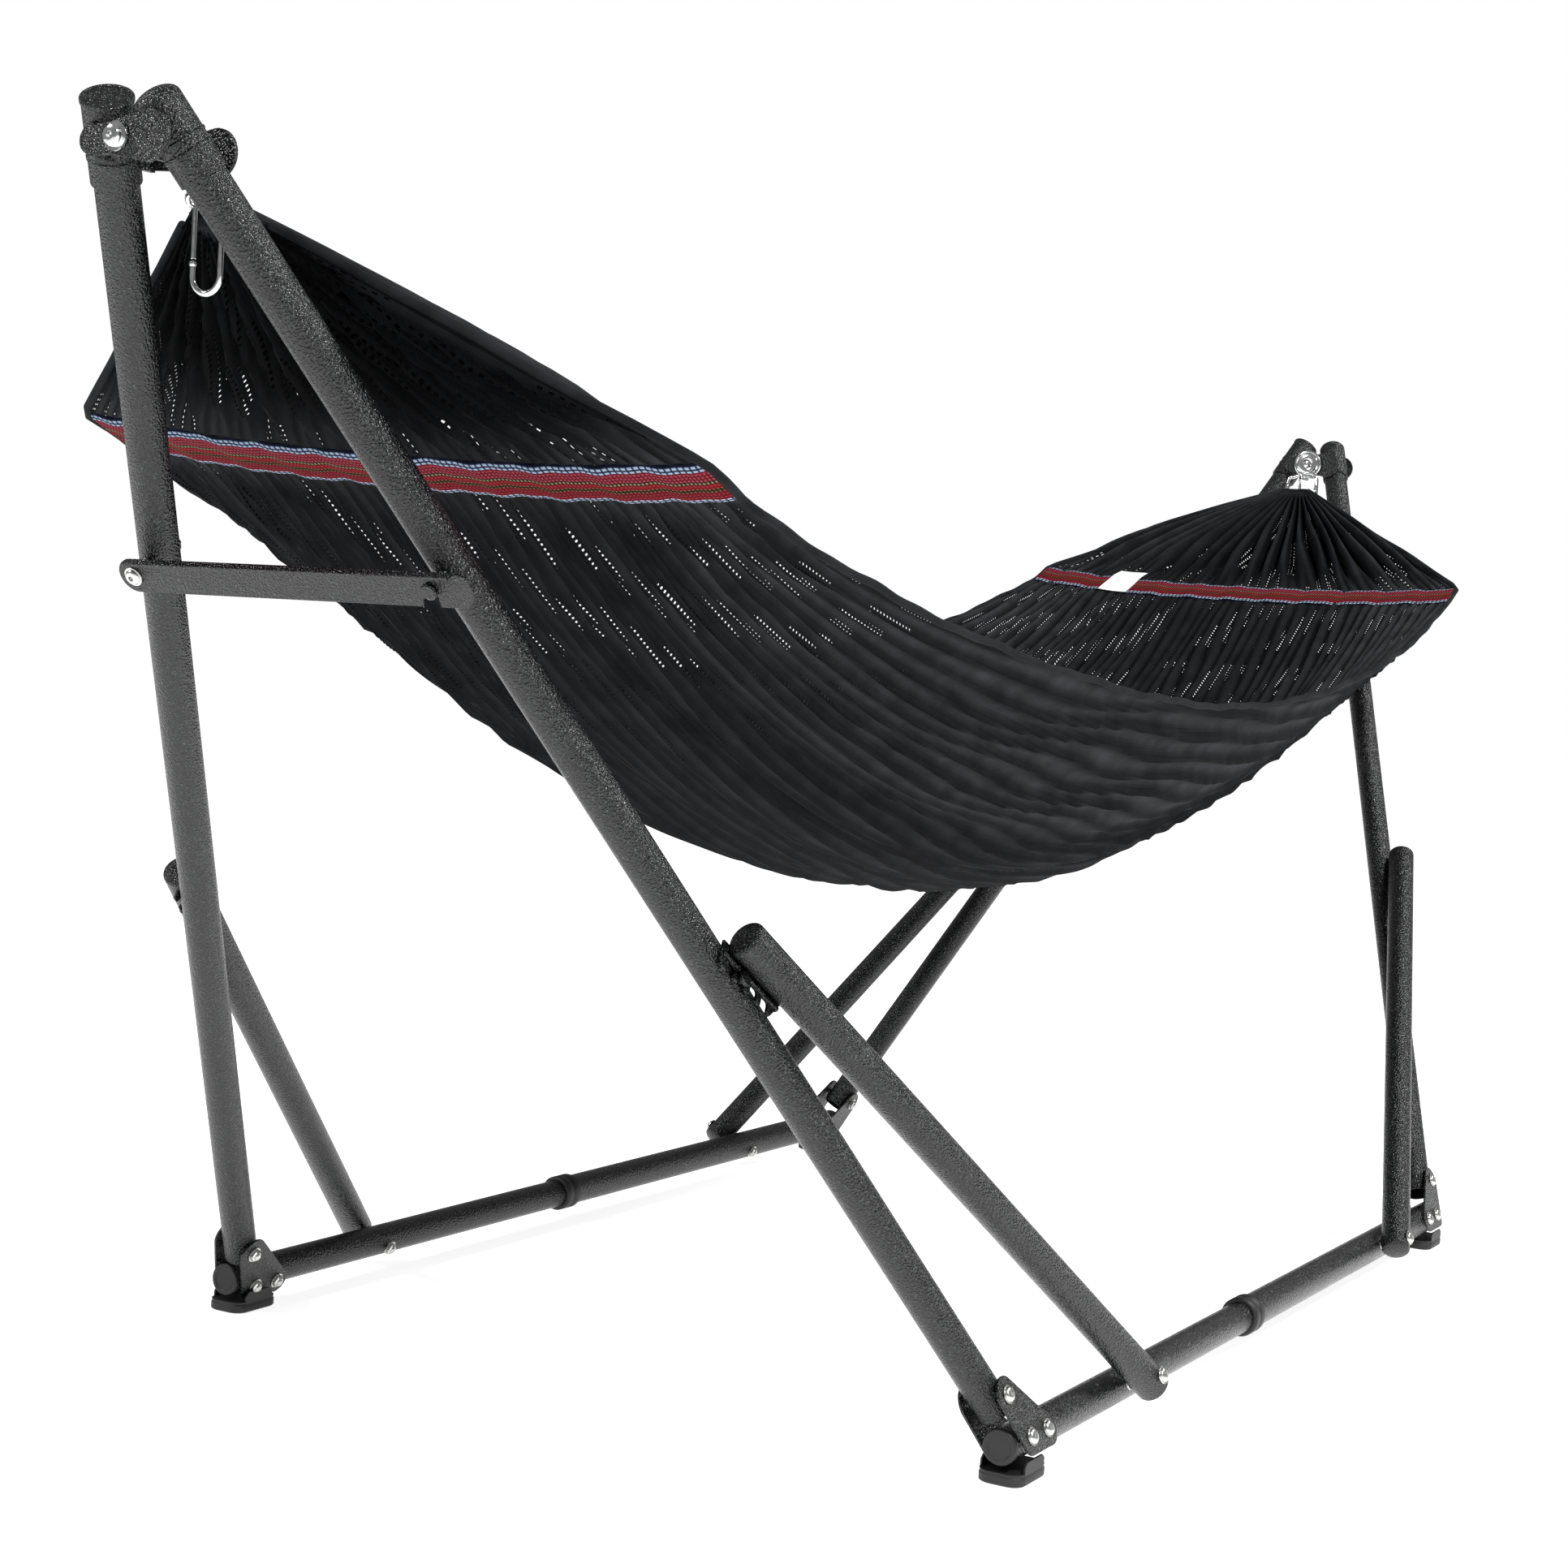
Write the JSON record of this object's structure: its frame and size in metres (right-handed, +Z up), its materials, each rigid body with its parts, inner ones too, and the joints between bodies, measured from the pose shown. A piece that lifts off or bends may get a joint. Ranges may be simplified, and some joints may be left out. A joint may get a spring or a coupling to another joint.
{
  "type": "hammock on stand",
  "caption": "Free-standing hammock: a gathered mesh cloth with striped trim bands hung between two leaning tube A-frames on telescopic floor rails with notched braces.",
  "frame": {"origin": "on the floor under the middle of the stand", "axes": "+X along the hammock to the far end, +Y to the left side, +Z up"},
  "size_m": [3.0508, 1.1258, 1.241],
  "materials": {
    "frame_coat": "dark grey hammertone powder coat, semi-gloss",
    "moulded_plastic": "black moulded plastic, fine matt",
    "zinc_bolts": "bright zinc plate",
    "chrome_hooks": "polished chrome plate",
    "hammock_cloth": "black knitted mesh of polyester and cotton yarn",
    "trim_band": "striped woven trim with chain-stitched edges",
    "sewn_label": "blank white satin label"
  },
  "bodies": {
    "root": {"left_rail_outer": "frame_coat", "left_rail_collar": "moulded_plastic", "far_left_leg": "frame_coat", "far_left_sleeve": "frame_coat", "far_left_brace_bolt": "zinc_bolts", "far_left_bracket_outer": "frame_coat", "far_left_bracket_inner": "frame_coat", "far_left_leg_bolt": "zinc_bolts", "far_left_rail_bolt_1": "zinc_bolts", "far_left_rail_bolt_2": "zinc_bolts", "far_left_foot": "moulded_plastic", "far_spreader_bolt": "zinc_bolts", "far_hook": "chrome_hooks", "far_claw": "chrome_hooks"},
    "near_left": {"left_rail_inner": "frame_coat", "near_left_leg": "frame_coat", "near_left_sleeve": "frame_coat", "near_left_brace_bolt": "zinc_bolts", "near_left_bracket_outer": "frame_coat", "near_left_bracket_inner": "frame_coat", "near_left_leg_bolt": "zinc_bolts", "near_left_rail_bolt_1": "zinc_bolts", "near_left_rail_bolt_2": "zinc_bolts", "near_left_foot": "moulded_plastic", "near_spreader_bolt": "zinc_bolts", "near_hook": "chrome_hooks", "near_claw": "chrome_hooks"},
    "far_right": {"right_rail_outer": "frame_coat", "right_rail_collar": "moulded_plastic", "far_right_leg": "frame_coat", "far_right_sleeve": "frame_coat", "far_right_brace_bolt": "zinc_bolts", "far_right_bracket_outer": "frame_coat", "far_right_bracket_inner": "frame_coat", "far_right_leg_bolt": "zinc_bolts", "far_right_rail_bolt_1": "zinc_bolts", "far_right_rail_bolt_2": "zinc_bolts", "far_right_foot": "moulded_plastic"},
    "near_right": {"right_rail_inner": "frame_coat", "near_right_leg": "frame_coat", "near_right_sleeve": "frame_coat", "near_right_brace_bolt": "zinc_bolts", "near_right_bracket_outer": "frame_coat", "near_right_bracket_inner": "frame_coat", "near_right_leg_bolt": "zinc_bolts", "near_right_rail_bolt_1": "zinc_bolts", "near_right_rail_bolt_2": "zinc_bolts", "near_right_foot": "moulded_plastic"},
    "near_left_brace_body": {"near_left_brace": "frame_coat"},
    "far_left_brace_body": {"far_left_brace": "frame_coat"},
    "near_right_brace_body": {"near_right_brace": "frame_coat"},
    "far_right_brace_body": {"far_right_brace": "frame_coat"},
    "near_spreader_body": {"near_spreader": "frame_coat"},
    "near_carabiner_body": {"near_carabiner": "chrome_hooks"},
    "near_gate_body": {"near_gate": "chrome_hooks"},
    "far_spreader_body": {"far_spreader": "frame_coat"},
    "far_carabiner_body": {"far_carabiner": "chrome_hooks"},
    "far_gate_body": {"far_gate": "chrome_hooks"},
    "hammock_body": {"hammock": "hammock_cloth"}
  },
  "joints": [
    {"name": "side_fold", "type": "hinge", "parent": "root", "child": "far_right", "pos_m": [1.4749, -0.006, 1.18997], "axis": [1, 0, 0], "range_deg": [0, 24]},
    {"name": "left_rail_slide", "type": "slide", "parent": "root", "child": "near_left", "axis": [1, 0, 0], "range_m": [0, 0.2], "deforming": ["hammock"]},
    {"name": "right_rail_slide", "type": "slide", "parent": "far_right", "child": "near_right", "axis": [1, 0, 0], "range_m": [0, 0.2]},
    {"name": "near_spreader_swing", "type": "hinge", "parent": "near_left", "child": "near_spreader_body", "pos_m": [-1.25768, 0.16906, 0.86472], "axis": [-0.8316, 0, -0.5554], "range_deg": [0, 72]},
    {"name": "far_spreader_swing", "type": "hinge", "parent": "root", "child": "far_spreader_body", "pos_m": [1.25768, 0.16906, 0.86472], "axis": [-0.8316, 0, 0.5554], "range_deg": [0, 72]},
    {"name": "near_left_brace_lift", "type": "hinge", "parent": "near_left", "child": "near_left_brace_body", "pos_m": [-0.452, 0.53853, 0.05342], "axis": [0, 0.9284, 0.3716], "range_deg": [0, 20]},
    {"name": "far_left_brace_lift", "type": "hinge", "parent": "root", "child": "far_left_brace_body", "pos_m": [0.452, 0.53853, 0.05342], "axis": [0, -0.9284, -0.3716], "range_deg": [0, 20]},
    {"name": "near_right_brace_lift", "type": "hinge", "parent": "near_right", "child": "near_right_brace_body", "pos_m": [-0.452, -0.53853, 0.05342], "axis": [0, 0.9284, -0.3716], "range_deg": [0, 20]},
    {"name": "far_right_brace_lift", "type": "hinge", "parent": "far_right", "child": "far_right_brace_body", "pos_m": [0.452, -0.53853, 0.05342], "axis": [0, -0.9284, 0.3716], "range_deg": [0, 20]},
    {"name": "hammock_swing", "type": "hinge", "parent": "root", "child": "hammock_body", "pos_m": [0, -0.006, 1.16137], "axis": [1, 0, 0], "range_deg": [-10, 10]},
    {"name": "near_carabiner_swing", "type": "hinge", "parent": "near_left", "child": "near_carabiner_body", "pos_m": [-1.4145, -0.006, 1.16137], "axis": [1, 0, 0], "range_deg": [0, 31.2]},
    {"name": "near_gate_open", "type": "hinge", "parent": "near_carabiner_body", "child": "near_gate_body", "pos_m": [-1.4145, 0.00075, 1.10641], "axis": [1, 0, 0], "range_deg": [0, 22], "stiffness_Nm_per_rad": 0.05, "springref_deg": -8.59},
    {"name": "far_carabiner_swing", "type": "hinge", "parent": "root", "child": "far_carabiner_body", "pos_m": [1.4145, -0.006, 1.16137], "axis": [1, 0, 0], "range_deg": [0, 31.2]},
    {"name": "far_gate_open", "type": "hinge", "parent": "far_carabiner_body", "child": "far_gate_body", "pos_m": [1.4145, 0.00075, 1.10641], "axis": [1, 0, 0], "range_deg": [0, 22], "stiffness_Nm_per_rad": 0.05, "springref_deg": -8.59}
  ],
  "couplings": [
    {"joint": "right_rail_slide", "follows": "left_rail_slide", "ratio": 1},
    {"joint": "near_spreader_swing", "follows": "side_fold", "ratio": 3},
    {"joint": "far_spreader_swing", "follows": "side_fold", "ratio": 3},
    {"joint": "near_carabiner_swing", "follows": "side_fold", "ratio": 1.3},
    {"joint": "far_carabiner_swing", "follows": "side_fold", "ratio": 1.3}
  ]
}
